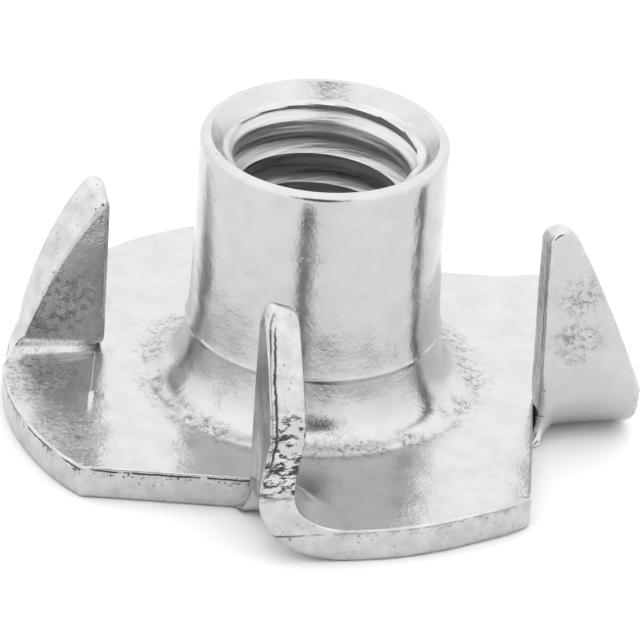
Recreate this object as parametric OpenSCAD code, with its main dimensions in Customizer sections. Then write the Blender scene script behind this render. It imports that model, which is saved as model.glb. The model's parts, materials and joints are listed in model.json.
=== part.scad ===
// Four-prong tee nut: a round flange, a drawn barrel with a threaded bore, and four prongs
// lanced out of the flange and folded up beside it. All of it is one piece of steel sheet.
// Millimetres. Z is the barrel's axis, and the underside of the flange is at z = 0.

/* [Flange] */
// Diameter of the round flange
flange_d = 19.1; // [17.8:0.1:23]
// Thickness of the sheet
sheet_t = 1.1; // [0.9:0.05:1.35]

/* [Barrel] */
// Height from the underside of the flange to the barrel's rim
overall_h = 9.4; // [7.5:0.1:14]
// Outer diameter of the barrel
barrel_d = 7.7; // [6.8:0.1:9.4]
// Radius of the fillet where the barrel leaves the flange
foot_r = 1.3; // [0.4:0.1:1.6]
// Radius on the outer edge of the rim
rim_r = 0.15; // [0.05:0.05:0.3]

/* [Bore] */
// Diameter of the threaded bore, measured at the thread's crests
bore_d = 5; // [4.1:0.05:5.8]
// Width of the flat land that the countersunk mouth leaves on the rim
rim_land = 0.34; // [0.2:0.02:0.44]
// Slope of the countersink's wall, from the barrel's axis
mouth_slope = 40; // [30:1:60]
// Radius of the drawn entry under the flange
entry_r = 1.5; // [0.5:0.1:1.8]

/* [Prongs] */
// Distance from the barrel's axis to the straight cut that frees each prong
cut_u = 6.72; // [6.2:0.02:7]
// Distance from the prong's centre line of the flange to the prong's outer face, at the cut
fold_v = 1.7; // [1:0.1:2.2]
// Angle between the fold and a radius of the flange
fold_skew = 15; // [5:1:20]
// Inside radius of the fold
fold_r = 1.2; // [0.6:0.1:1.5]
// Height of the prong's tip above the underside of the flange
prong_h = 7.3; // [5.5:0.1:9]
// Distance along the fold from the end of the cut to the prong's inner edge
prong_inset = 0.35; // [0.2:0.05:0.6]
// Distance along the fold from the end of the cut to the prong's outer edge, at the fold
prong_reach = 3.5; // [3:0.1:4]
// Radius of the prong's curved outer edge
prong_edge_r = 22; // [16:1:40]
// Radius of the prong's blunt tip
prong_tip_r = 0.45; // [0.3:0.05:0.6]

/* [Hidden] */
$fn = 96;
PRONG_COUNT = 4;
// Cuts run this far past what they cut
SPARE = 1;

barrel_r = barrel_d / 2;
bore_r = bore_d / 2;
mouth_r = barrel_r - rim_land;
mouth_depth = (mouth_r - bore_r) / tan(mouth_slope);
fold_outer_r = fold_r + sheet_t;
// Larger than anything on the part, for half planes
wide = flange_d + overall_h;

// The flange's axis, seen from the end of the cut, along the fold and square to it.
axis_along = fold_v * sin(fold_skew) - cut_u * cos(fold_skew);
axis_across = fold_v * cos(fold_skew) + cut_u * sin(fold_skew);
// Where the flange's rim meets the start of the fold.
flat_reach = axis_along + sqrt((flange_d / 2) ^ 2 - (fold_outer_r - axis_across) ^ 2);

// The prong's outline in its own plane: x along the fold, y up from the underside of the flange.
tip_x = prong_inset + prong_tip_r;
tip_y = prong_h - prong_tip_r;
// The outer edge is an arc through prong_reach at the top of the fold that just touches the round tip.
tip_from_reach = [tip_x - prong_reach, tip_y - fold_outer_r];
tip_gap = norm(tip_from_reach);
// From the point at prong_reach, the arc's centre lies this far round from the line to the tip's centre.
edge_turn = acos((prong_edge_r ^ 2 + tip_gap ^ 2 - (prong_edge_r - prong_tip_r) ^ 2)
    / (2 * prong_edge_r * tip_gap));
edge_angle = atan2(tip_from_reach[1], tip_from_reach[0]) + edge_turn;
edge_centre = [prong_reach, fold_outer_r] + prong_edge_r * [cos(edge_angle), sin(edge_angle)];
// Direction from the edge's centre through the tip's centre: the two arcs touch there.
tip_angle = atan2(tip_y - edge_centre[1], tip_x - edge_centre[0]);

// Everything on the +x side of the straight cut beside a prong.
module beyond_cut() {
    translate([cut_u, -wide]) square([wide, 2 * wide]);
}

// The strip that the fold takes up: from far outside the prong to the start of the flat flange.
module folded_away() {
    intersection() {
        beyond_cut();
        translate([cut_u, -fold_v]) rotate(fold_skew)
            translate([-wide, -wide]) square([2 * wide, wide + fold_outer_r]);
    }
}

// Flat flange: a disc that has lost a segment's clockwise half at each prong.
module flange() {
    linear_extrude(sheet_t) difference() {
        circle(d = flange_d);
        for (k = [0 : PRONG_COUNT - 1]) rotate(k * 360 / PRONG_COUNT) folded_away();
    }
}

// Section across a prong: x away from its outer face, y up. Quarter bend and upright blade.
module fold_section() {
    intersection() {
        translate([fold_outer_r, fold_outer_r]) difference() {
            circle(fold_outer_r);
            circle(fold_r);
        }
        square(fold_outer_r);
    }
    translate([0, fold_outer_r]) square([sheet_t, prong_h]);
}

// Outline of the blade, seen square to its face.
module blade_outline() {
    difference() {
        intersection() {
            translate([prong_inset, -SPARE]) square([prong_reach, prong_h + 2 * SPARE]);
            translate(edge_centre) circle(prong_edge_r, $fn = 360);
        }
        // Round tip between the straight inner edge and the curved outer edge.
        difference() {
            translate([tip_x, tip_y]) polygon([
                [0, 0],
                [-wide, 0],
                [-wide, wide],
                wide * [cos(tip_angle), sin(tip_angle)]
            ]);
            translate([tip_x, tip_y]) circle(prong_tip_r);
        }
    }
    // Root, as wide as the cut lets it be.
    translate([-wide, -SPARE]) square([wide + SPARE, sheet_t + SPARE]);
}

// Plan of the fold: its outer end runs straight from the flange's rim to the blade's outer edge.
module fold_plan() {
    polygon([
        [-wide, 0],
        [prong_reach, 0],
        [flat_reach, fold_outer_r],
        [-wide, fold_outer_r]
    ]);
}

// One prong beside the +x side of the flange.
module prong() {
    intersection() {
        translate([cut_u, -fold_v]) rotate(fold_skew) intersection() {
            rotate([90, 0, 90]) translate([0, 0, -wide / 2]) linear_extrude(wide) fold_section();
            rotate([90, 0, 0]) translate([0, 0, -wide / 2]) linear_extrude(wide) blade_outline();
            translate([0, 0, -SPARE]) linear_extrude(wide) fold_plan();
        }
        translate([0, 0, -SPARE]) linear_extrude(wide) beyond_cut();
    }
}

// Half section of the barrel's metal, from the axis outwards.
module barrel_section() {
    square([barrel_r - rim_r, overall_h]);
    square([barrel_r, overall_h - rim_r]);
    translate([barrel_r - rim_r, overall_h - rim_r]) circle(rim_r);
    // Foot: a block as wide as the fillet, with the fillet's hollow taken out.
    difference() {
        square([barrel_r + foot_r, sheet_t + foot_r]);
        translate([barrel_r + foot_r, sheet_t + foot_r]) circle(foot_r);
    }
}

// All that is open along the axis: drawn entry, bore and countersunk mouth.
module bore_section() {
    translate([0, -SPARE]) square([bore_r, overall_h + 2 * SPARE]);
    polygon([
        [0, overall_h - mouth_depth],
        [bore_r, overall_h - mouth_depth],
        [mouth_r, overall_h],
        [mouth_r, overall_h + SPARE],
        [0, overall_h + SPARE]
    ]);
    difference() {
        translate([0, -SPARE]) square([bore_r + entry_r, entry_r + SPARE]);
        translate([bore_r + entry_r, entry_r]) circle(entry_r);
    }
}

module tee_nut() {
    color("gainsboro") difference() {
        union() {
            flange();
            for (k = [0 : PRONG_COUNT - 1]) rotate(k * 360 / PRONG_COUNT) prong();
            rotate_extrude() barrel_section();
        }
        rotate_extrude() bore_section();
    }
}

tee_nut();
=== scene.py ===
import json
import math

import bpy
import numpy as np
from mathutils import Matrix, Vector


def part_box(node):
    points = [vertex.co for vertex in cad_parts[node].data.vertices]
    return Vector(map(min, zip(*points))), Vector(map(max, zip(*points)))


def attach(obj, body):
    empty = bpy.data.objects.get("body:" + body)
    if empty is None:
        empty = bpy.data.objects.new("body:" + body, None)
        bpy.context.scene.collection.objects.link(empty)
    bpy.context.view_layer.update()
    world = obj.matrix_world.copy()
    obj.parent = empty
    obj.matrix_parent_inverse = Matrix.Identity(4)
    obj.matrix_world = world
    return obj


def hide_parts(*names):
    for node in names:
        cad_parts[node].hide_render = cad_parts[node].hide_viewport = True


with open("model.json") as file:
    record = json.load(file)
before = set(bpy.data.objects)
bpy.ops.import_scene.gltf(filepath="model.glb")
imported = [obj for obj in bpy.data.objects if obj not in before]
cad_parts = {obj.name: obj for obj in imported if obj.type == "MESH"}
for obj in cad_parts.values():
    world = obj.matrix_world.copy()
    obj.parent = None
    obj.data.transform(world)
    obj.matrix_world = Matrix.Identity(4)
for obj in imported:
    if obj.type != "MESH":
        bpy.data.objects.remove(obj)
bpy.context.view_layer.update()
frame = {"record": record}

# ---------------------------------------------------------------------------
# Sizes, in millimetres. The nut is modelled in millimetres and scaled at the end.
# ---------------------------------------------------------------------------
MM = 0.001
mounts = {m["name"]: m for m in frame["record"]["mounts"]}

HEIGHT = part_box("tee_nut")[1].z / MM
BARREL_R = mounts["barrel"]["dims"]["r_mm"]
CREST_R = mounts["thread"]["dims"]["r_mm"]
ROOT_R = 3.0
PITCH = 1.0
SHEET = 1.1
RIM_R = 9.55            # radius of the flange's round stretches
CUT_U = 6.72            # distance from the axis to the straight cut beside a prong
MOUTH_R = 3.51          # countersink at the rim, and where it ends
MOUTH_END_R = 3.09
MOUTH_SLOPE = math.radians(40)
ENTRY_FILLET = 1.5      # drawn entry under the flange

COLUMNS = 192           # divisions round the axis, a multiple of 8
SKIRT_R = 5.6           # where the drawn barrel's foot ends and the flat flange starts

FOLD_V = 1.7            # outer face of a prong, from the prong's centre line, at the cut
FOLD_SKEW = math.radians(15)
FOLD_TIGHT = 1.45       # outer radius of the fold at the end of the cut
WEB_WIDTH = 0.75        # how far along the fold the flange's middle holds it down

# Each prong is folded by the same die and comes out a little different: right, back, left, front.
#   height, tip         top of the round tip, and its radius
#   inset, inset_tip    inner edge at the fold and at the tip, measured outwards from the cut
#   reach, edge         outer edge at the fold, and the radius of that edge
#   wide, bulge         outer radius of the fold at the rim, and how far the fold bulges there
#   flare               how soon the fold flares out to the rim: less than 1 is sooner
#   slant, pinch        how much lower the cut runs on the upper side, and how much sharper its tip is
#   dome                how far the two faces close in at the tip
#   mark                height of the ridge that the die leaves on the flange beside the prong
PRONGS = (
    {"height": 7.50, "tip": 0.50, "inset": 0.19, "inset_tip": 0.10, "reach": 3.32, "edge": 45.0,
     "wide": 1.9, "bulge": 0.34, "flare": 1.0, "slant": 0.20, "pinch": 0.0, "dome": 0.06,
     "mark": 0.0},
    {"height": 7.20, "tip": 0.45, "inset": 0.35, "inset_tip": 0.35, "reach": 3.30, "edge": 22.0,
     "wide": 2.4, "bulge": 0.20, "flare": 1.0, "slant": 0.30, "pinch": 0.0, "dome": 0.15,
     "mark": 0.0},
    {"height": 6.72, "tip": 0.38, "inset": 0.00, "inset_tip": 0.03, "reach": 2.56, "edge": 11.5,
     "wide": 1.7, "bulge": 0.10, "flare": 0.42, "slant": 0.50, "pinch": 0.55, "dome": 0.02,
     "mark": 0.045},
    {"height": 7.66, "tip": 0.42, "inset": 0.35, "inset_tip": 0.35, "reach": 3.30, "edge": 22.0,
     "wide": 2.4, "bulge": 0.38, "flare": 1.0, "slant": 0.30, "pinch": 0.0, "dome": 0.22,
     "mark": 0.0},
)


def smooth(t):
    """0 to 1 with flat ends."""
    t = min(max(t, 0.0), 1.0)
    return t * t * (3 - 2 * t)


def mix(a, b, t):
    return a + (b - a) * t


# ---------------------------------------------------------------------------
# Small helpers for edit mode
# ---------------------------------------------------------------------------
def clear_selection():
    if bpy.context.mode != "OBJECT":
        bpy.ops.object.mode_set(mode="OBJECT")
    bpy.ops.object.select_all(action="DESELECT")


def only(piece):
    """Makes piece the one selected, active object."""
    clear_selection()
    piece.select_set(True)
    bpy.context.view_layer.objects.active = piece


def edit(piece, kind="VERT"):
    only(piece)
    bpy.ops.object.mode_set(mode="EDIT")
    bpy.ops.mesh.select_mode(type=kind)
    bpy.ops.mesh.select_all(action="DESELECT")


def leave():
    bpy.ops.object.mode_set(mode="OBJECT")


def sheet_grid(name, across, along, place, upper=None, share=None):
    """A grid of across by along squares whose corner (i, j) goes to place(i, j).

    Where upper is given, each vertex also carries upper(i, j), its place on the sheet's other side,
    and where share is given, the number share(i, j).
    """
    clear_selection()
    bpy.ops.mesh.primitive_grid_add(x_subdivisions=across, y_subdivisions=along, size=1)
    grid = bpy.context.object
    grid.name = name
    corners = [(round((v.co.x + 0.5) * across), round((v.co.y + 0.5) * along))
               for v in grid.data.vertices]
    for v, (i, j) in zip(grid.data.vertices, corners):
        v.co = place(i, j)
    if upper:
        store = grid.data.attributes.new("upper_place", "FLOAT_VECTOR", "POINT")
        for item, (i, j) in zip(store.data, corners):
            item.vector = upper(i, j)
    if share:
        store = grid.data.attributes.new("across", "FLOAT", "POINT")
        for item, (i, j) in zip(store.data, corners):
            item.value = share(i, j)
    return grid


def join(parts, name):
    clear_selection()
    for p in parts:
        p.select_set(True)
    bpy.context.view_layer.objects.active = parts[0]
    bpy.ops.object.join()
    parts[0].name = name
    return parts[0]


def weld(piece, distance):
    edit(piece)
    bpy.ops.mesh.select_all(action="SELECT")
    bpy.ops.mesh.remove_doubles(threshold=distance)
    leave()


# ---------------------------------------------------------------------------
# The sheet is drawn twice, as its underside and as its upper side, on the same net.
# The underside's net carries each vertex's place on the upper side.
# ---------------------------------------------------------------------------
UNDER, UPPER = 0, 1
FACE_FINISH, EDGE_FINISH, THREAD_FINISH = 0, 1, 2   # the order of the nut's materials
CORNER = COLUMNS // 8   # column number of the flange's corner, from a prong's centre line
FIRST = -1              # column where the fold starts
WEB_STEPS = 8           # columns of the fold that stay joined to the flange's middle
BLADE_STEPS = 28        # divisions up the blade, round the fold and over the flat half of a petal
FOLD_STEPS = 14
FLAT_STEPS = CORNER - FIRST
ROWS = 18               # divisions across a prong
SQUARE_RINGS = 7        # rings from the skirt out to the cuts
SLIT_END = (-2.1, -0.8)  # where the cut ends, on the underside and on the upper side
MARK_COLUMNS = 8        # the die's ridge keeps its height over so many columns
MARK_FADE = 9           # and fades over so many more


def column_angle(j):
    return 2 * math.pi * j / COLUMNS


def side_column(angle):
    """Column number from the nearest prong's centre line."""
    side = (angle + math.pi / 4) % (math.pi / 2) - math.pi / 4
    return side * COLUMNS / (2 * math.pi)


def column_v(column, side):
    """Place of a column along the straight cut. The columns crowd a little at the slit's end."""
    plain = CUT_U * math.tan(column_angle(column))
    if column > FIRST or column <= -CORNER:
        return plain
    end = FIRST - WEB_STEPS
    start_v = CUT_U * math.tan(column_angle(FIRST))
    if column >= end:
        return mix(start_v, SLIT_END[side], (FIRST - column) / WEB_STEPS)
    return mix(SLIT_END[side], -CUT_U, (end - column) / (CORNER + end))


def ridge(prong, columns):
    """Height of the ridge that the die leaves, so many columns away from the fold."""
    return prong["mark"] * (1 - smooth((columns - MARK_COLUMNS) / MARK_FADE))


def make_square():
    """The flange's middle: rings from the skirt out to the square between the four cuts."""
    def point(i, j, side):
        a = column_angle(j)
        column = side_column(a)
        quarter = round((a - column * 2 * math.pi / COLUMNS) / (math.pi / 2))
        edge = Vector((CUT_U, column_v(round(column), side), 0))
        edge = Matrix.Rotation(quarter * math.pi / 2, 3, "Z") @ edge
        start = Vector((SKIRT_R * math.cos(a), SKIRT_R * math.sin(a), 0))
        out = math.sin(i / SQUARE_RINGS * math.pi / 2)  # the rings crowd towards the cut
        at_ridge = i == SQUARE_RINGS and column >= FIRST
        mark = ridge(PRONGS[quarter % 4], column - FIRST) if at_ridge else 0
        return start.lerp(edge, out) + Vector((0, 0, side * (SHEET + mark)))

    return sheet_grid("square", SQUARE_RINGS, COLUMNS, lambda i, j: point(i, j, UNDER),
                      lambda i, j: point(i, j, UPPER))


# ---------------------------------------------------------------------------
# Petal: the round segment beside each cut, with the prong folded up from its far half.
# Its own frame has u outwards and v anticlockwise, and the prong's centre line is v = 0.
# ---------------------------------------------------------------------------
FOLD_OPENS = 2.7                        # length over which the fold opens, outwards from the cut
BULGE_FROM, BULGE_RUN = 0.8, 2.4        # where along the fold its bulge starts, and how slowly
BULGE_SHOULDER = 0.35                   # share of the bulge that also fills the fold's shoulders
BULGE_HEIGHT = 1.8                      # how far up the blade the bulge dies out
DOME_RUN = 0.75                         # height below the tip where the faces start to close in
TIP_FADE = 0.5                          # how much of the tip's roundness passes to each next station
WEB_LIFT = Vector((0.01, 0.02, 0.05))   # rise of each station past the web
WEB_LETS_GO = 0.62                      # share of the web's hold that is left at each of them
CORNER_FROM, CORNER_RUN = 0.85, 0.15    # share of the petal where the rim draws out to the corner
FLATTENS = 0.6                          # share of the petal that the fold's flare still lifts
CROWDING = 0.1                          # how much a petal's rows crowd towards its two edges


def fold_point(s, y, z):
    """From the fold's own frame (along it, across it, up) to u, v and z."""
    c, k = math.cos(FOLD_SKEW), math.sin(FOLD_SKEW)
    return Vector((CUT_U + s * c - y * k, -FOLD_V + s * k + y * c, z))


def fold_radius(s, prong):
    """The fold is tight at the end of the cut and opens towards the rim."""
    return mix(FOLD_TIGHT, prong["wide"], smooth(s / FOLD_OPENS))


def fold_bulge(s, prong):
    """How far the fold stands out, at a place along it."""
    return prong["bulge"] * smooth((s - BULGE_FROM) / BULGE_RUN)


def rim_reach(y):
    """Along the fold's direction, how far the flange's rim is from the end of the cut."""
    along = FOLD_V * math.sin(FOLD_SKEW) - CUT_U * math.cos(FOLD_SKEW)
    across = FOLD_V * math.cos(FOLD_SKEW) + CUT_U * math.sin(FOLD_SKEW)
    return along + math.sqrt(RIM_R ** 2 - (y - across) ** 2)


def tip_radius(prong, side):
    return prong["tip"] * (1 - side * prong["pinch"])


def blade_edges(prong, side):
    """Centre of the round tip, centre of the outer edge's arc, and where the two arcs touch."""
    round_off = tip_radius(prong, side)
    tip_z = prong["height"] - round_off - side * prong["slant"]
    tip = np.array([prong["inset_tip"] + round_off, tip_z])
    foot = np.array([prong["reach"], prong["wide"]])
    gap = tip - foot
    reach = np.hypot(*gap)
    bend = prong["edge"]
    turn = math.acos((bend ** 2 + reach ** 2 - (bend - round_off) ** 2) / (2 * bend * reach))
    a = math.atan2(gap[1], gap[0]) + turn
    centre = foot + bend * np.array([math.cos(a), math.sin(a)])
    touch = math.atan2(tip[1] - centre[1], tip[0] - centre[0])
    return tip, centre, touch


def blade_outline(step, t, side, prong):
    """Step 0 is the round tip and the last step the fold's top. t runs from inner to outer edge."""
    tip, centre, touch = blade_edges(prong, side)
    a = mix(math.pi, touch, t)
    on_tip = tip + tip_radius(prong, side) * np.array([math.cos(a), math.sin(a)])
    if step == 0:
        return on_tip
    share = step / BLADE_STEPS
    touch_point = tip + tip_radius(prong, side) * np.array([math.cos(touch), math.sin(touch)])
    top_y = mix(tip[1], touch_point[1], t)
    y = mix(top_y, fold_radius(mix(prong["inset"], prong["reach"], t), prong), share)
    inner = mix(prong["inset_tip"], prong["inset"], share)
    outer = centre[0] + math.sqrt(prong["edge"] ** 2 - (y - centre[1]) ** 2)
    outer = min(outer, prong["reach"])
    # The stations next to the tip still bulge a little, as the tip does.
    chord = np.array([mix(prong["inset_tip"], touch_point[0], t), top_y])
    return np.array([mix(inner, outer, t), y]) + (on_tip - chord) * TIP_FADE ** step


def blade_face(z, side, prong):
    """Distance of a face from the prong's outer plane: both faces close in at the very tip."""
    dome = prong["dome"] * smooth((z - prong["height"] + DOME_RUN) / DOME_RUN) ** 2
    return mix(dome, SHEET - dome, side)


def web_anchor(steps_up, side):
    """Where the fold's inner end is held down by the flange's middle, and how strongly."""
    column = max(FIRST - steps_up, FIRST - WEB_STEPS)
    past = max(steps_up - WEB_STEPS, 0)
    anchor = Vector((CUT_U, column_v(column, side), side * SHEET))
    return anchor + past * WEB_LIFT, WEB_LETS_GO ** past


def fold_line(phi, t, side, prong):
    """Point of the fold: phi runs from a right angle at the blade to 0 at the flat flange."""
    turned = max(1 - math.sin(phi), 0) ** prong["flare"]
    s = mix(prong["inset"], mix(prong["reach"], rim_reach(prong["wide"]), turned), t)
    r = fold_radius(s, prong)
    inner = r - side * SHEET
    bulge = fold_bulge(s, prong)
    shoulders = bulge * math.sin(2 * phi) ** 2 * BULGE_SHOULDER
    y = r - inner * math.sin(phi) - shoulders - bulge * math.sin(phi) ** 2
    return fold_point(s, y, r - inner * math.cos(phi))


def flat_line(k, t, side, prong):
    """Point of the petal's flat half: line k of FLAT_STEPS, t from the cut's line to the rim."""
    base = Vector((CUT_U, column_v(FIRST + k, side), side * SHEET + side * ridge(prong, k)))
    start = fold_line(0, 1, side, prong)
    far = k / FLAT_STEPS
    angle = mix(math.atan2(start.y, start.x), math.pi / 4, far)
    radius = mix(RIM_R, CUT_U * math.sqrt(2), smooth((far - CORNER_FROM) / CORNER_RUN))
    end = Vector((radius * math.cos(angle), radius * math.sin(angle), side * SHEET))
    first = fold_line(0, 0, side, prong)
    bend = fold_line(0, t, side, prong) - first.lerp(start, t)
    return base.lerp(end, t) + bend * (1 - smooth(far / FLATTENS))


def petal_point(i, j, side, prong):
    """Corner (i, j) of a petal: i crosses from inner to outer edge, j runs from tip to corner."""
    t = i / ROWS
    t -= CROWDING * math.sin(2 * math.pi * t)
    if j > BLADE_STEPS + FOLD_STEPS:
        return flat_line(j - BLADE_STEPS - FOLD_STEPS, t, side, prong)
    if j <= BLADE_STEPS:
        s, z = blade_outline(j, t, side, prong)
        bulge = fold_bulge(s, prong) * smooth(1 - (z - prong["wide"]) / BULGE_HEIGHT)
        point = fold_point(s, blade_face(z, side, prong) - bulge, z)
    else:
        phi = math.pi / 2 * (1 - (j - BLADE_STEPS) / FOLD_STEPS)
        point = fold_line(phi, t, side, prong)
    anchor, strength = web_anchor(BLADE_STEPS + FOLD_STEPS - j, side)
    return point.lerp(anchor, strength * (1 - smooth(t * prong["reach"] / WEB_WIDTH)))


def make_petal(quarter):
    along = BLADE_STEPS + FOLD_STEPS + FLAT_STEPS
    prong = PRONGS[quarter]
    turn = Matrix.Rotation(quarter * math.pi / 2, 3, "Z")
    return sheet_grid("petal", ROWS, along, lambda i, j: turn @ petal_point(i, j, UNDER, prong),
                      lambda i, j: turn @ petal_point(i, j, UPPER, prong))


# ---------------------------------------------------------------------------
# Cut edge: a strip that runs once round the whole sheet, rounded where it meets the faces
# ---------------------------------------------------------------------------
ARC_STEPS = 4                           # divisions of each rounding, and of the wall between them
WALL_STEPS = 6
ROLL_UNDER, BURR_UNDER = 0.22, 0.07     # rounding of the edge on the underside: flange, prong
BURR_UPPER, ROLL_UPPER = 0.06, 0.15     # and on the upper side
TIP_UNDER, TIP_UPPER = 0.10, 0.07       # what a prong's tip adds to each
PRONG_FROM, PRONG_RUN = 1.5, 1.2        # height where the flange's rounding turns into a prong's
TIP_FROM, TIP_RUN = 5.6, 1.0            # and where the tip's comes in
ROLL_REACH = 2.6                        # how far behind the edge a face gives way, in roundings
TAPER_FROM = 2.4                        # height above which a prong is narrow enough to limit that
TAPER = 0.28                            # half width that a prong gains for each millimetre down


def edge_loop(mesh):
    """The outer boundary's vertices in order."""
    use = {}
    for f in mesh.polygons:
        for key in f.edge_keys:
            use[key] = use.get(key, 0) + 1
    link = {}
    for (a, b), n in use.items():
        far = min(mesh.vertices[a].co.xy.length, mesh.vertices[b].co.xy.length)
        if n == 1 and far > SKIRT_R + 0.1:
            link.setdefault(a, []).append(b)
            link.setdefault(b, []).append(a)
    start = next(iter(link))
    loop = [start]
    here, before = link[start][0], start
    while here != start:
        loop.append(here)
        here, before = (link[here][0] if link[here][0] != before else link[here][1]), here
    return loop


def around(points):
    """Unit directions along a closed run of points."""
    step = np.roll(points, -1, axis=0) - np.roll(points, 1, axis=0)
    return step / np.linalg.norm(step, axis=1)[:, None]


def vertex_normals(mesh, points):
    """Area-weighted normals of the net with its vertices at other places."""
    total = np.zeros_like(points)
    for f in mesh.polygons:
        corners = points[list(f.vertices)]
        n = np.cross(corners[2] - corners[0], corners[-1] - corners[1])
        for v in f.vertices:
            total[v] += n
    return total / np.maximum(np.linalg.norm(total, axis=1)[:, None], 1e-9)


def half_width(point):
    """Half a prong's width at a point, and 1 lower down, where the sheet is wide."""
    if point[2] < TAPER_FROM:
        return 1.0
    quarter = round(math.atan2(point[1], point[0]) / (math.pi / 2)) % 4
    prong = PRONGS[quarter]
    return prong["tip"] + TAPER * max(prong["height"] - prong["tip"] - prong["slant"] - point[2], 0)


def roll_off(points, normals, loop, radius):
    """Draws a face back from its cut edge by radius, and the vertices near it less and less."""
    edge = points[loop]
    inward = np.cross(normals[loop], around(edge))
    inward /= np.linalg.norm(inward, axis=1)[:, None]
    moved = points.copy()
    for k in range(len(points)):
        gap = np.linalg.norm(edge - points[k], axis=1)
        near = int(gap.argmin())
        reach = min(ROLL_REACH * radius[near], half_width(points[k]))
        if gap[near] < reach:
            moved[k] += inward[near] * radius[near] * (1 - gap[near] / reach)
    # Nothing sinks below the face's own level.
    moved[:, 2] = np.maximum(moved[:, 2], points[:, 2].min())
    return moved


def bow(a, b, c, t):
    """A curve from a to c that leaves and arrives along the lines through b."""
    return a * (1 - t) ** 2 + b * (2 * t * (1 - t)) + c * t ** 2


def make_strip(corner_under, corner_upper, face_under, face_upper, radius_under, radius_upper):
    count = len(corner_under)
    across = 2 * ARC_STEPS + WALL_STEPS
    upper_arc = ARC_STEPS + WALL_STEPS

    def place(i, j):
        k = j % count
        low, high = corner_under[k], corner_upper[k]
        rise = (high - low) / np.linalg.norm(high - low)
        low_end = low + rise * radius_under[k]
        high_end = high - rise * radius_upper[k]
        if i <= ARC_STEPS:
            return Vector(bow(face_under[k], low, low_end, i / ARC_STEPS))
        if i >= upper_arc:
            return Vector(bow(high_end, high, face_upper[k], (i - upper_arc) / ARC_STEPS))
        return Vector(low_end + (high_end - low_end) * ((i - ARC_STEPS) / WALL_STEPS))

    # Each vertex also carries how far across the edge it is, for the finish.
    return sheet_grid("cut_edge", across, count, place, share=lambda i, j: i / across)


def set_places(piece, points):
    piece.data.vertices.foreach_set("co", np.asarray(points, dtype=np.float32).ravel())
    piece.data.update()


def make_sheet():
    """Underside, upper side and the cut edge between them, open where the barrel joins on."""
    under = join([make_square()] + [make_petal(q) for q in range(4)], "underside")
    weld(under, 1e-4)
    mesh = under.data
    under_points = np.array([v.co for v in mesh.vertices])
    upper_points = np.array([item.vector for item in mesh.attributes["upper_place"].data])
    loop = edge_loop(mesh)
    # Walk the loop so that the way inwards is to the left, seen from the upper side.
    first, second = under_points[loop[0]], under_points[loop[1]]
    if first[0] * second[1] - first[1] * second[0] < 0:
        loop.reverse()
    normals_under = vertex_normals(mesh, under_points)
    normals_upper = vertex_normals(mesh, upper_points)
    flat = int(np.linalg.norm(under_points, axis=1).argmin())
    if normals_under[flat][2] < 0:
        normals_under, normals_upper = -normals_under, -normals_upper
    height = upper_points[loop][:, 2]
    on_prong = np.array([smooth((z - PRONG_FROM) / PRONG_RUN) for z in height])
    at_tip = np.array([smooth((z - TIP_FROM) / TIP_RUN) for z in height])
    radius_under = mix(ROLL_UNDER, BURR_UNDER, on_prong) + TIP_UNDER * at_tip
    radius_upper = mix(BURR_UPPER, ROLL_UPPER, on_prong) + TIP_UPPER * at_tip
    face_under = roll_off(under_points, normals_under, loop, radius_under)
    face_upper = roll_off(upper_points, normals_upper, loop, radius_upper)
    strip = make_strip(under_points[loop], upper_points[loop], face_under[loop], face_upper[loop],
                       radius_under, radius_upper)
    only(under)
    bpy.ops.object.duplicate()
    upper = bpy.context.object
    set_places(under, face_under)
    set_places(upper, face_upper)
    for face in strip.data.polygons:
        face.material_index = EDGE_FINISH
    return [under, upper, strip]


# ---------------------------------------------------------------------------
# Barrel: rings drawn up from the flange, over the rim, and the tapped bore inside
# ---------------------------------------------------------------------------
RIM_ROUND = 0.22        # radius of the barrel's outer edge at the rim
UPRIGHT_LOW = 5.65      # height above which the barrel is a true cylinder
UPRIGHT_TOP = 0.45      # depth below the rim of the cylinder's last ring
THREAD_ROWS = 20        # divisions in one turn of the thread
THREAD_START = 0.15     # where the thread starts round the bore, as a share of a turn
CREST, FLANK, ROOT = 0.3, 0.25, 0.2     # shares of a turn: crest, one flank, root
CREST_WEAR = 0.09       # how far the crest stands back from its nominal radius
TAP_OPENS = 0.2         # how much wider the top turns are, how far down that starts, and its run
TAP_FROM, TAP_RUN = 1.9, 1.1
SHOULDER_SLOPE = 3      # steepness of the shoulder under the countersink
BLEND_ENTRY, BLEND_MOUTH = 0.06, 0.03   # how softly the thread runs into the entry and the mouth
BORE_LOW = 0.25         # height where the bore's grid starts
THREAD_TOP = 0.42       # depth below the rim where the thread's finish ends


def arc(cx, cz, r, start, end, steps):
    """Points of an arc in the section plane, angles in degrees, both ends included."""
    turns = [math.radians(mix(start, end, k / steps)) for k in range(steps + 1)]
    return [(cx + r * math.cos(a), cz + r * math.sin(a)) for a in turns]


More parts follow.
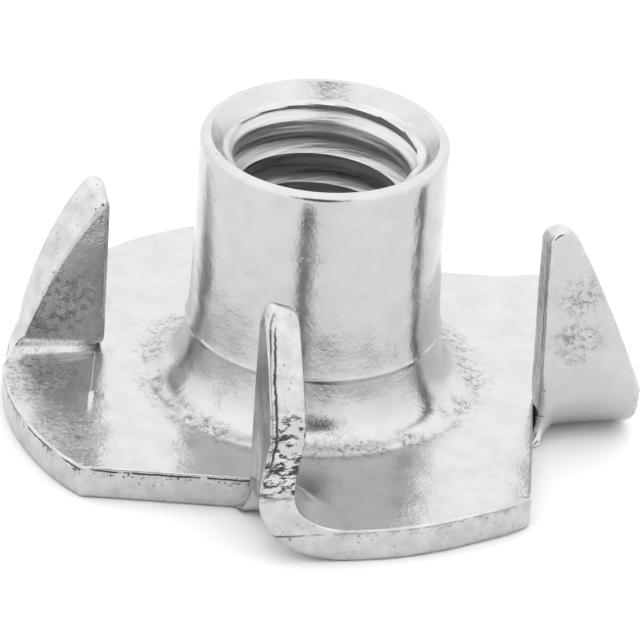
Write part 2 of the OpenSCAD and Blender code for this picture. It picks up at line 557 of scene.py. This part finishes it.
def outer_section():
    """Radius and height of the barrel's outside, from the flange up to the mouth's edge."""
    bead = [(5.42, 1.1), (5.34, 1.102), (5.27, 1.098), (5.2, 1.094), (5.14, 1.1), (5.08, 1.12),
            (5.02, 1.148), (4.95, 1.172), (4.88, 1.193)]
    foot = [(4.78, 1.225), (4.67, 1.275), (4.56, 1.345), (4.45, 1.44), (4.35, 1.56), (4.26, 1.7),
            (4.18, 1.87), (4.115, 2.06), (4.06, 2.28), (4.02, 2.5), (3.99, 2.72), (3.968, 2.92)]
    scratch = [(3.962, 3.0), (3.972, 3.05), (3.976, 3.09), (3.955, 3.13), (3.94, 3.2)]
    flare = [(3.92, 3.4), (3.9, 3.65), (3.882, 3.95), (3.868, 4.3), (3.858, 4.7), (3.852, 5.15)]
    upright = [(BARREL_R, z) for z in np.linspace(UPRIGHT_LOW, HEIGHT - UPRIGHT_TOP, 9)]
    rim = arc(BARREL_R - RIM_ROUND, HEIGHT - RIM_ROUND, RIM_ROUND, 0, 90, 7)
    return bead + foot + scratch + flare + upright + rim + [(MOUTH_R + 0.05, HEIGHT)]


def under_section():
    """From the flange's underside round the drawn entry and up to the start of the bore."""
    low = math.degrees(math.asin((ENTRY_FILLET - BORE_LOW) / ENTRY_FILLET))
    flat = [(r, 0) for r in (5.2, 4.8, 4.4)]
    return flat + arc(CREST_R + ENTRY_FILLET, ENTRY_FILLET, ENTRY_FILLET, 270, 180 + low, 8)


def soft_max(a, b, k):
    """The greater of two numbers, blended where they are less than k apart."""
    h = max(k - abs(a - b), 0) / k
    return max(a, b) + h * h * k / 4


def thread_radius(turn, crest):
    """Radius of the formed thread at a share of one turn, going up: crest, flank, root, flank."""
    x = turn % 1.0
    root_end = CREST + FLANK + ROOT
    if x < CREST:
        return crest
    if x < CREST + FLANK:
        return mix(crest, ROOT_R, (x - CREST) / FLANK)
    if x < root_end:
        return ROOT_R
    return mix(ROOT_R, crest, (x - root_end) / FLANK)


def bore_radius(angle, z):
    # The tap leaves its first turns a little open.
    crest = CREST_R + CREST_WEAR + TAP_OPENS * smooth((z - HEIGHT + TAP_FROM) / TAP_RUN)
    inside = thread_radius(z / PITCH - angle / (2 * math.pi) + THREAD_START, crest)
    if z < ENTRY_FILLET:
        entry = CREST_R + ENTRY_FILLET - math.sqrt(ENTRY_FILLET ** 2 - (ENTRY_FILLET - z) ** 2)
        inside = soft_max(inside, entry, BLEND_ENTRY)
    # The countersink ends in a shoulder, where the first turn of the thread begins.
    mouth_end = HEIGHT - (MOUTH_R - MOUTH_END_R) / math.tan(MOUTH_SLOPE)
    mouth = MOUTH_R - (HEIGHT - z) * math.tan(MOUTH_SLOPE)
    if z < mouth_end:
        mouth = MOUTH_END_R - (mouth_end - z) * SHOULDER_SLOPE
    return soft_max(inside, mouth, BLEND_MOUTH)


def make_bore():
    """The bore's wall on a grid that follows the thread, cut level at both ends."""
    turns = math.ceil((HEIGHT - BORE_LOW) / PITCH) + 2
    rows = turns * THREAD_ROWS

    def place(i, j):
        a = column_angle(j)
        z = BORE_LOW - PITCH + i / THREAD_ROWS * PITCH + j / COLUMNS * PITCH
        z = min(max(z, BORE_LOW), HEIGHT)
        r = bore_radius(a, z)
        return Vector((r * math.cos(a), r * math.sin(a), z))

    bore = sheet_grid("bore", rows, COLUMNS, place)
    weld(bore, 1e-5)
    edit(bore)
    bpy.ops.mesh.select_all(action="SELECT")
    bpy.ops.mesh.dissolve_degenerate(threshold=1e-5)
    leave()
    for face in bore.data.polygons:
        threaded = face.center.z < HEIGHT - THREAD_TOP
        face.material_index = THREAD_FINISH if threaded else FACE_FINISH
    return bore


def make_rings(name, start, section):
    """A skirt of rings, each extruded from the last, that starts at (radius, height)."""
    clear_selection()
    bpy.ops.mesh.primitive_circle_add(vertices=COLUMNS, radius=start[0], location=(0, 0, start[1]),
                                      rotation=(0, 0, 0))
    skirt = bpy.context.object
    skirt.name = name
    bpy.ops.object.transform_apply(location=True, rotation=True, scale=True)
    edit(skirt)
    bpy.ops.mesh.select_all(action="SELECT")
    r0, z0 = start
    for r, z in section:
        bpy.ops.mesh.extrude_region_move(TRANSFORM_OT_translate={"value": (0, 0, z - z0)})
        bpy.ops.transform.resize(value=(r / r0, r / r0, 1), center_override=(0, 0, z))
        r0, z0 = r, z
    leave()
    return skirt


def make_barrel():
    outside = make_rings("outside", (SKIRT_R, SHEET), outer_section() + [(MOUTH_R, HEIGHT)])
    inside = make_rings("inside", (SKIRT_R, 0), under_section())
    return [outside, inside, make_bore()]


# ---------------------------------------------------------------------------
# The whole nut
# ---------------------------------------------------------------------------
RIM_TILT, RIM_LIFT = 0.013, 0.04        # the rim's slope up to the back, and its lift at the axis
RIM_FROM, RIM_RUN = 6.5, 2.5            # height where that starts, and its run
DRAWN_OUT = 0.26                        # how far the flange is drawn out to the right and the back
DRAWN_FROM, DRAWN_RUN = 5.2, 1.5        # distance from the axis where that starts, and its run
CORNER_LIFT = 0.2                       # lift of the corner between them
LIFT_FROM, LIFT_RUN = 12.2, 1.6         # where x and y together bring that in, and its run


def settle(p):
    """The die isn't quite true: it tips the rim, draws the flange out and lifts one corner."""
    x, y, z = p
    if p.xy.length < BARREL_R + 0.1:
        return Vector((x, y, z + (RIM_TILT * y + RIM_LIFT) * smooth((z - RIM_FROM) / RIM_RUN)))
    return Vector((x + DRAWN_OUT * smooth((x - DRAWN_FROM) / DRAWN_RUN),
                   y + DRAWN_OUT * smooth((y - DRAWN_FROM) / DRAWN_RUN),
                   z + CORNER_LIFT * smooth((x + y - LIFT_FROM) / LIFT_RUN)))


def make_nut(finishes):
    """One mesh, whose finishes are in the order of FACE_FINISH, EDGE_FINISH and THREAD_FINISH."""
    parts = make_sheet() + make_barrel()
    for part in parts:
        for finish in finishes:
            part.data.materials.append(finish)
    nut = join(parts, "zinc_plated_nut")
    weld(nut, 2e-3)
    edit(nut, "FACE")
    bpy.ops.mesh.select_all(action="SELECT")
    bpy.ops.mesh.normals_make_consistent(inside=False)
    leave()
    for v in nut.data.vertices:
        v.co = settle(v.co)
    nut.data.transform(Matrix.Scale(MM, 4))
    only(nut)
    bpy.ops.object.shade_smooth_by_angle(angle=math.radians(40))
    return nut


# ---------------------------------------------------------------------------
# Finish
# ---------------------------------------------------------------------------
PLAIN = (1, 1, 1)               # a pattern that isn't stretched
RUNS_ROUND = (0.05, 0.05, 1)    # streaks that run round the bore
# Scuffs from the die: centre, how far each is at full strength, and where it ends.
SCUFFS = (
    ((-8.2, 0.9, 2.9), 0.9, 2.1),       # the left prong, low down
    ((-8.7, -1.4, 1.1), 0.9, 2.0),      # the flange in front of it
    ((8.3, -1.6, 5.2), 0.2, 1.2),       # the right prong, high and low
    ((8.2, -1.6, 3.6), 0.3, 1.2),
    ((-7.2, -4.6, 1.1), 0.2, 1.6),      # the flange at the front left
)


def ease(tree, value, low, high, out_low=0.0, out_high=1.0):
    """Adds a node that takes low..high smoothly to out_low..out_high."""
    node = tree.nodes.new("ShaderNodeMapRange")
    node.interpolation_type = "SMOOTHSTEP"
    node.inputs["From Min"].default_value = low
    node.inputs["From Max"].default_value = high
    node.inputs["To Min"].default_value = out_low
    node.inputs["To Max"].default_value = out_high
    tree.links.new(value, node.inputs["Value"])
    return node.outputs["Result"]


class Finish:
    """A material in the making: small helpers round its node tree. Sizes are in millimetres."""

    def __init__(self, name):
        self.material = bpy.data.materials.new(name)
        self.material.use_nodes = True
        self.tree = self.material.node_tree
        self.shader = self.tree.nodes["Principled BSDF"]
        self.shader.inputs["Metallic"].default_value = 1.0
        self.place = self.tree.nodes.new("ShaderNodeTexCoord").outputs["Object"]

    def link(self, source, target):
        self.tree.links.new(source, target)

    def stretched(self, scale=PLAIN):
        """Places on the nut in millimetres, times scale."""
        node = self.tree.nodes.new("ShaderNodeMapping")
        node.inputs["Scale"].default_value = [k / MM for k in scale]
        self.link(self.place, node.inputs["Vector"])
        return node.outputs["Vector"]

    def noise(self, size, detail=3.0, stretch=PLAIN, rough=0.5):
        """Cloudy noise whose lumps are about size millimetres across."""
        node = self.tree.nodes.new("ShaderNodeTexNoise")
        node.inputs["Scale"].default_value = 1.0
        node.inputs["Detail"].default_value = detail
        node.inputs["Roughness"].default_value = rough
        self.link(self.stretched([k / size for k in stretch]), node.inputs["Vector"])
        return node.outputs["Fac"]

    def ramp(self, value, low, high, out_low=0.0, out_high=1.0):
        return ease(self.tree, value, low, high, out_low, out_high)

    def band(self, value, rise, fall):
        """1 between two soft edges, each given as the value where it is 0 and where it is 1."""
        return self.times(self.ramp(value, *rise), self.ramp(value, *fall))

    def math(self, kind, a, b):
        node = self.tree.nodes.new("ShaderNodeMath")
        node.operation = kind
        for socket, item in zip(node.inputs, (a, b)):
            if isinstance(item, (int, float)):
                socket.default_value = item
            else:
                self.link(item, socket)
        return node.outputs["Value"]

    def times(self, a, b):
        return self.math("MULTIPLY", a, b)

    def either(self, a, b):
        """The stronger of two patterns."""
        return self.math("MAXIMUM", a, b)

    def dented(self, pattern, depth, below):
        """Relief that sinks by depth millimetres where the pattern is 1."""
        return self.bump(self.math("SUBTRACT", 1.0, pattern), depth, below)

    def bump(self, height, depth, below=None):
        """Relief of depth millimetres."""
        node = self.tree.nodes.new("ShaderNodeBump")
        node.inputs["Strength"].default_value = 1.0
        node.inputs["Distance"].default_value = depth * MM
        self.link(height, node.inputs["Height"])
        if below:
            self.link(below, node.inputs["Normal"])
        return node.outputs["Normal"]

    def tint(self, amount, low, high):
        """Greys from low to high. The low end may be another tint."""
        node = self.tree.nodes.new("ShaderNodeMix")
        node.data_type = "RGBA"
        for socket, grey in ((node.inputs["A"], low), (node.inputs["B"], high)):
            if isinstance(grey, float):
                socket.default_value = (grey, grey, grey, 1)
            else:
                self.link(grey, socket)
        self.link(amount, node.inputs["Factor"])
        return node.outputs["Result"]

    def pits(self, size, fill):
        """Small round dents about size millimetres apart; fill is how far each one spreads."""
        node = self.tree.nodes.new("ShaderNodeTexVoronoi")
        node.inputs["Scale"].default_value = 1.0
        node.inputs["Detail"].default_value = 1.0
        self.link(self.stretched([1 / size] * 3), node.inputs["Vector"])
        return self.ramp(node.outputs["Distance"], fill, fill * 0.3)

    def spot(self, centre, inner, outer):
        """1 within inner millimetres of a place, and 0 beyond outer."""
        node = self.tree.nodes.new("ShaderNodeVectorMath")
        node.operation = "DISTANCE"
        self.link(self.stretched(), node.inputs[0])
        node.inputs[1].default_value = centre
        return self.ramp(node.outputs["Value"], outer, inner)


def plated_face():
    """Bright zinc on rolled sheet: glossy and softly rippled, with shallow pits in patches."""
    f = Finish("bright_zinc_face")
    # The sheet was drawn hardest round the barrel's foot, and its skin is rough there.
    from_axis = f.tree.nodes.new("ShaderNodeVectorMath")
    from_axis.operation = "LENGTH"
    f.link(f.stretched((1, 1, 0)), from_axis.inputs[0])
    foot = f.band(from_axis.outputs["Value"], (4.4, 4.8), (5.8, 5.1))
    coarse = f.times(foot, f.ramp(f.noise(1.2, 2.0), 0.36, 0.56))
    for centre, inner, outer in SCUFFS:
        coarse = f.either(coarse, f.spot(centre, inner, outer))
    coarse = f.either(coarse, f.times(f.ramp(f.noise(1.7, 2.0), 0.58, 0.72), 0.4))
    uneven = f.ramp(f.noise(0.45, 3.0), 0.34, 0.54)
    dents = f.times(f.pits(0.15, 0.6), uneven)
    mottle = f.ramp(f.noise(0.22, 4.0, rough=0.8), 0.47, 0.6)
    pitted = f.times(f.either(dents, f.times(mottle, 0.8)), coarse)
    normal = f.bump(f.noise(1.6, 2.0), 0.05)
    normal = f.bump(f.noise(0.14, 3.0, rough=0.6), 0.008, normal)
    normal = f.dented(f.times(dents, coarse), 0.025, normal)
    f.link(normal, f.shader.inputs["Normal"])
    rough = f.ramp(f.noise(0.9, 3.0), 0.35, 0.7, 0.15, 0.23)
    rough = f.math("ADD", rough, f.times(coarse, 0.13))
    rough = f.math("ADD", rough, f.times(foot, 0.1))
    f.link(rough, f.shader.inputs["Roughness"])
    clouds = f.tint(f.ramp(f.noise(0.7, 4.0), 0.3, 0.7), 0.485, 0.52)
    f.link(f.tint(f.times(pitted, 0.85), clouds, 0.14), f.shader.inputs["Base Color"])
    return f.material


def chatter_bars(f, place):
    """Short bars one above the other, low on the front prong."""
    bars = f.ramp(f.noise(0.13, 4.0, stretch=(0.4, 0.4, 1.0), rough=0.7), 0.5, 0.56)
    low_on_front = f.times(f.band(place["Z"], (2.1, 2.5), (5.0, 4.4)), f.ramp(place["Y"], -6.0, -6.6))
    return f.times(bars, f.times(low_on_front, f.ramp(f.noise(0.5, 2.0), 0.38, 0.48)))


def burr_line(f, place):
    """A broken dark line just under the flange's upper edge, with flecks, boldest on the left."""
    wavy = f.math("ADD", place["Z"], f.times(f.noise(0.3, 3.0), 0.08))
    line = f.band(wavy, (1.0, 1.02), (1.075, 1.055))
    flecks = f.times(f.ramp(wavy, 0.78, 0.95), f.ramp(f.noise(0.14, 4.0, rough=0.7), 0.56, 0.62))
    burr = f.either(line, f.times(flecks, f.ramp(wavy, 1.1, 1.05)))
    broken = f.times(burr, f.ramp(f.noise(0.6, 3.0), 0.38, 0.46))
    return f.times(broken, f.ramp(place["X"], 1.0, -1.2, 0.3, 1.0))


def tear_crack(f, place):
    """Where the sheet tore away from the die, beside the outer face of all but the left prong."""
    edge = f.tree.nodes.new("ShaderNodeAttribute")
    edge.attribute_name = "across"
    tear = f.math("ADD", edge.outputs["Fac"], f.times(f.noise(0.35, 4.0, rough=0.6), 0.1))
    crack = f.band(tear, (0.36, 0.375), (0.42, 0.39))
    crack = f.times(crack, f.band(place["Z"], (2.9, 3.5), (7.2, 6.8)))
    return f.times(crack, f.ramp(place["X"], -6.0, -5.0))


def sheared_edge():
    """Zinc over a sheared edge: coarser, with a broken burr line, chatter and tear marks."""
    f = Finish("bright_zinc_sheared_edge")
    split = f.tree.nodes.new("ShaderNodeSeparateXYZ")
    f.link(f.stretched(), split.inputs["Vector"])
    place = split.outputs
    pitted = f.times(f.pits(0.16, 0.5), f.ramp(f.noise(0.6, 3.0), 0.46, 0.6))
    marks = f.either(f.either(chatter_bars(f, place), burr_line(f, place)), tear_crack(f, place))
    normal = f.bump(f.noise(0.55, 3.0), 0.03)
    normal = f.bump(f.noise(0.12, 2.0), 0.005, normal)
    normal = f.dented(f.either(pitted, marks), 0.045, normal)
    f.link(normal, f.shader.inputs["Normal"])
    f.link(f.ramp(f.noise(0.6, 3.0), 0.35, 0.7, 0.2, 0.34), f.shader.inputs["Roughness"])
    clouds = f.tint(f.ramp(f.noise(0.5, 4.0), 0.3, 0.7), 0.46, 0.56)
    scars = f.either(f.times(pitted, 0.45), f.times(marks, 0.95))
    f.link(f.tint(scars, clouds, 0.03), f.shader.inputs["Base Color"])
    return f.material


def formed_thread():
    """Zinc over the formed thread: streaks that run round the bore."""
    f = Finish("bright_zinc_thread")
    streaks = f.noise(0.1, 3.0, stretch=RUNS_ROUND, rough=0.6)
    normal = f.bump(streaks, 0.02)
    normal = f.bump(f.noise(0.2, 3.0), 0.005, normal)
    f.link(normal, f.shader.inputs["Normal"])
    f.link(f.ramp(streaks, 0.3, 0.7, 0.26, 0.42), f.shader.inputs["Roughness"])
    f.link(f.tint(f.ramp(streaks, 0.3, 0.7), 0.46, 0.62), f.shader.inputs["Base Color"])
    return f.material


nut = make_nut((plated_face(), sheared_edge(), formed_thread()))
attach(nut, "root")
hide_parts("tee_nut")

# ---------------------------------------------------------------------------
# Camera, floor and light
# ---------------------------------------------------------------------------
VIEW_DISTANCE = 0.25                    # metres
VIEW_LENS = 453.9                       # a long lens, so that the nut fills the frame
VIEW_UP = math.radians(29.547)          # angle of the view above the floor
VIEW_ROLL = math.radians(3.915)         # turn of the camera about its own line of sight
VIEW_TARGET = Vector((0.000211, 0, 0.00298))
VIEW_SIDE = (0, -math.cos(VIEW_UP), math.sin(VIEW_UP))  # from the target towards the camera

FLOOR_SIZE = 2
FLOOR_GREY = 0.9
TENT_LOW, TENT_HIGH = 1.33, 1.66        # light of the tent's walls and of its top
TENT_FROM, TENT_TO = -0.3, 0.9          # and the levels between which it grows
HOLE_RIM, HOLE_MIDDLE = 0.88, 0.985     # cosines: the dark hole's rim, and where it is darkest
HOLE_LIGHT = 0.06                       # share of the tent's light that the hole gives


def place_camera():
    data = bpy.data.cameras.new("camera")
    data.lens = VIEW_LENS
    data.clip_start = 0.01
    cam = bpy.data.objects.new("camera", data)
    bpy.context.scene.collection.objects.link(cam)
    back = Vector(VIEW_SIDE)
    cam.location = VIEW_TARGET + VIEW_DISTANCE * back
    turn = back.to_track_quat("Z", "Y").to_matrix() @ Matrix.Rotation(VIEW_ROLL, 3, "Z")
    cam.rotation_euler = turn.to_euler()
    bpy.context.scene.camera = cam


def make_floor():
    clear_selection()
    bpy.ops.mesh.primitive_plane_add(size=FLOOR_SIZE)
    plane = bpy.context.object
    plane.name = "floor"
    pale = bpy.data.materials.new("pale_floor")
    pale.use_nodes = True
    shader = pale.node_tree.nodes["Principled BSDF"]
    shader.inputs["Base Color"].default_value = (FLOOR_GREY, FLOOR_GREY, FLOOR_GREY, 1)
    plane.data.materials.append(pale)
    return plane


def make_world():
    """A white tent, a little darker low down, with the dark hole that a camera looks through."""
    world = bpy.data.worlds.new("studio")
    world.use_nodes = True
    tree = world.node_tree
    back = tree.nodes["Background"]
    where = tree.nodes.new("ShaderNodeTexCoord").outputs["Generated"]
    split = tree.nodes.new("ShaderNodeSeparateXYZ")
    tree.links.new(where, split.inputs["Vector"])
    level = ease(tree, split.outputs["Z"], TENT_FROM, TENT_TO, TENT_LOW, TENT_HIGH)
    toward = tree.nodes.new("ShaderNodeVectorMath")
    toward.operation = "DOT_PRODUCT"
    toward.inputs[1].default_value = VIEW_SIDE
    tree.links.new(where, toward.inputs[0])
    hole = ease(tree, toward.outputs["Value"], HOLE_RIM, HOLE_MIDDLE, 1.0, HOLE_LIGHT)
    light = tree.nodes.new("ShaderNodeMath")
    light.operation = "MULTIPLY"
    tree.links.new(level, light.inputs[0])
    tree.links.new(hole, light.inputs[1])
    tree.links.new(light.outputs["Value"], back.inputs["Color"])
    bpy.context.scene.world = world


place_camera()
floor = make_floor()
make_world()
bpy.context.scene.view_settings.view_transform = "Standard"
